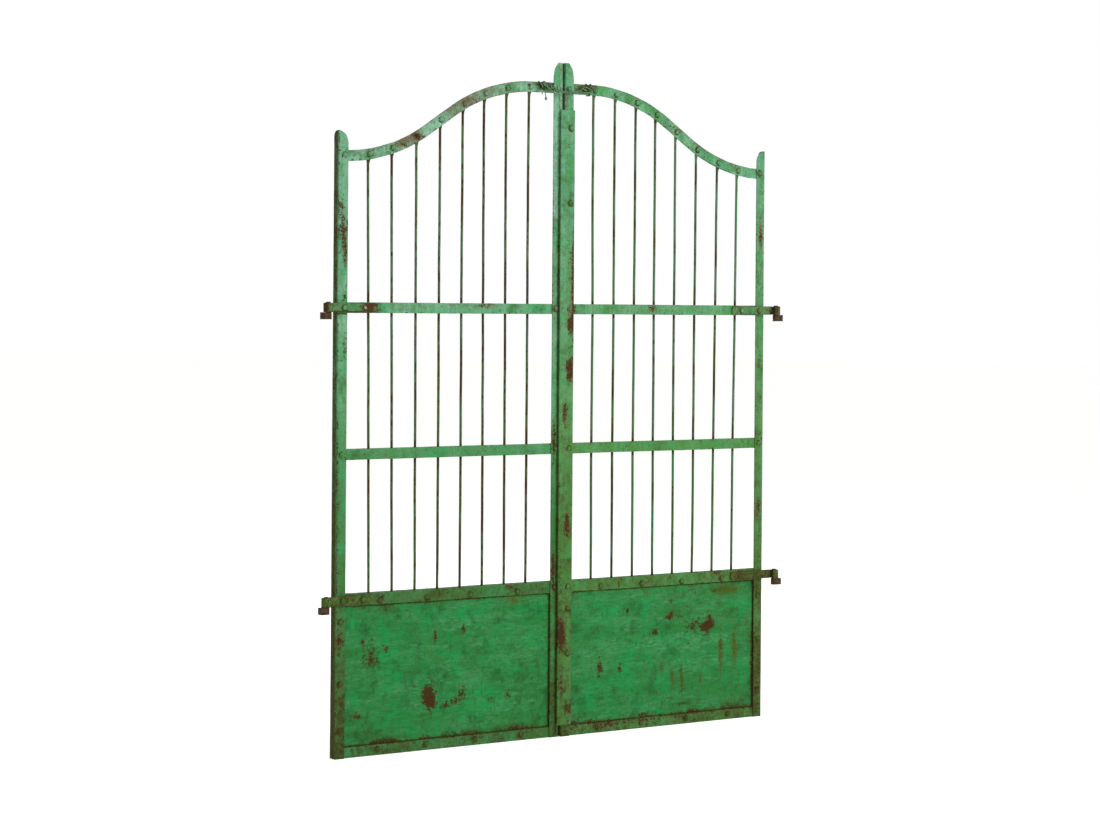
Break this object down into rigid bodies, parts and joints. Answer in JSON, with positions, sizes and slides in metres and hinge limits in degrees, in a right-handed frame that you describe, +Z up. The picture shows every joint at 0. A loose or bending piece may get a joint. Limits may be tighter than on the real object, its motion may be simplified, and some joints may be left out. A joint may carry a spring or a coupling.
{
  "type": "wrought iron gate",
  "caption": "Double-leaf garden gate of riveted angle iron with round bars, ogee top rails, sheet kick panels, a cover strip and rolled-eye strap hinges on pintles.",
  "frame": {"origin": "centre of the flat outer face of the lower left pintle's shank, where it meets its post", "axes": "+X along the closed gate from the left leaf to the right leaf, +Y from the front to the back, +Z up"},
  "size_m": [1.714, 0.073, 2.1177],
  "materials": {
    "painted_iron": "old green gloss paint on wrought iron sections, chalked and rust-stained",
    "painted_sheet": "old green gloss paint on sheet iron, scratched and rust-spotted",
    "hinge_iron": "forged straps with thin green paint worn to brown rust",
    "bare_iron": "forged iron, bare and rusted",
    "tie_wire": "dull grey-green coated tie wire, rusted where it is bent"
  },
  "bodies": {
    "post_pins": {"left_upper_pintle": "bare_iron", "left_lower_pintle": "bare_iron", "right_upper_pintle": "bare_iron", "right_lower_pintle": "bare_iron"},
    "left_leaf": {"left_hinge_stile": "painted_iron", "left_meeting_stile": "painted_iron", "left_top_rail": "painted_iron", "left_upper_rail": "painted_iron", "left_middle_rail": "painted_iron", "left_lower_rail": "painted_iron", "left_bottom_rail": "painted_iron", "left_kick_panel": "painted_sheet", "left_bars": "painted_iron", "left_upper_hinge": "hinge_iron", "left_lower_hinge": "hinge_iron", "latch_pin": "bare_iron", "hook_wire": "tie_wire"},
    "right_leaf": {"right_hinge_stile": "painted_iron", "right_meeting_stile": "painted_iron", "right_top_rail": "painted_iron", "right_upper_rail": "painted_iron", "right_middle_rail": "painted_iron", "right_lower_rail": "painted_iron", "right_bottom_rail": "painted_iron", "right_kick_panel": "painted_sheet", "right_bars": "painted_iron", "right_upper_hinge": "hinge_iron", "right_lower_hinge": "hinge_iron", "cover_strip": "painted_iron", "wire_tie": "tie_wire"}
  },
  "joints": [
    {"name": "left_leaf_swing", "type": "hinge", "parent": "post_pins", "child": "left_leaf", "pos_m": [0.022, 0, 0], "axis": [0, 0, -1], "range_deg": [0, 110]},
    {"name": "right_leaf_swing", "type": "hinge", "parent": "post_pins", "child": "right_leaf", "pos_m": [1.692, -0.005, 0], "axis": [0, 0, 1], "range_deg": [0, 110]}
  ]
}
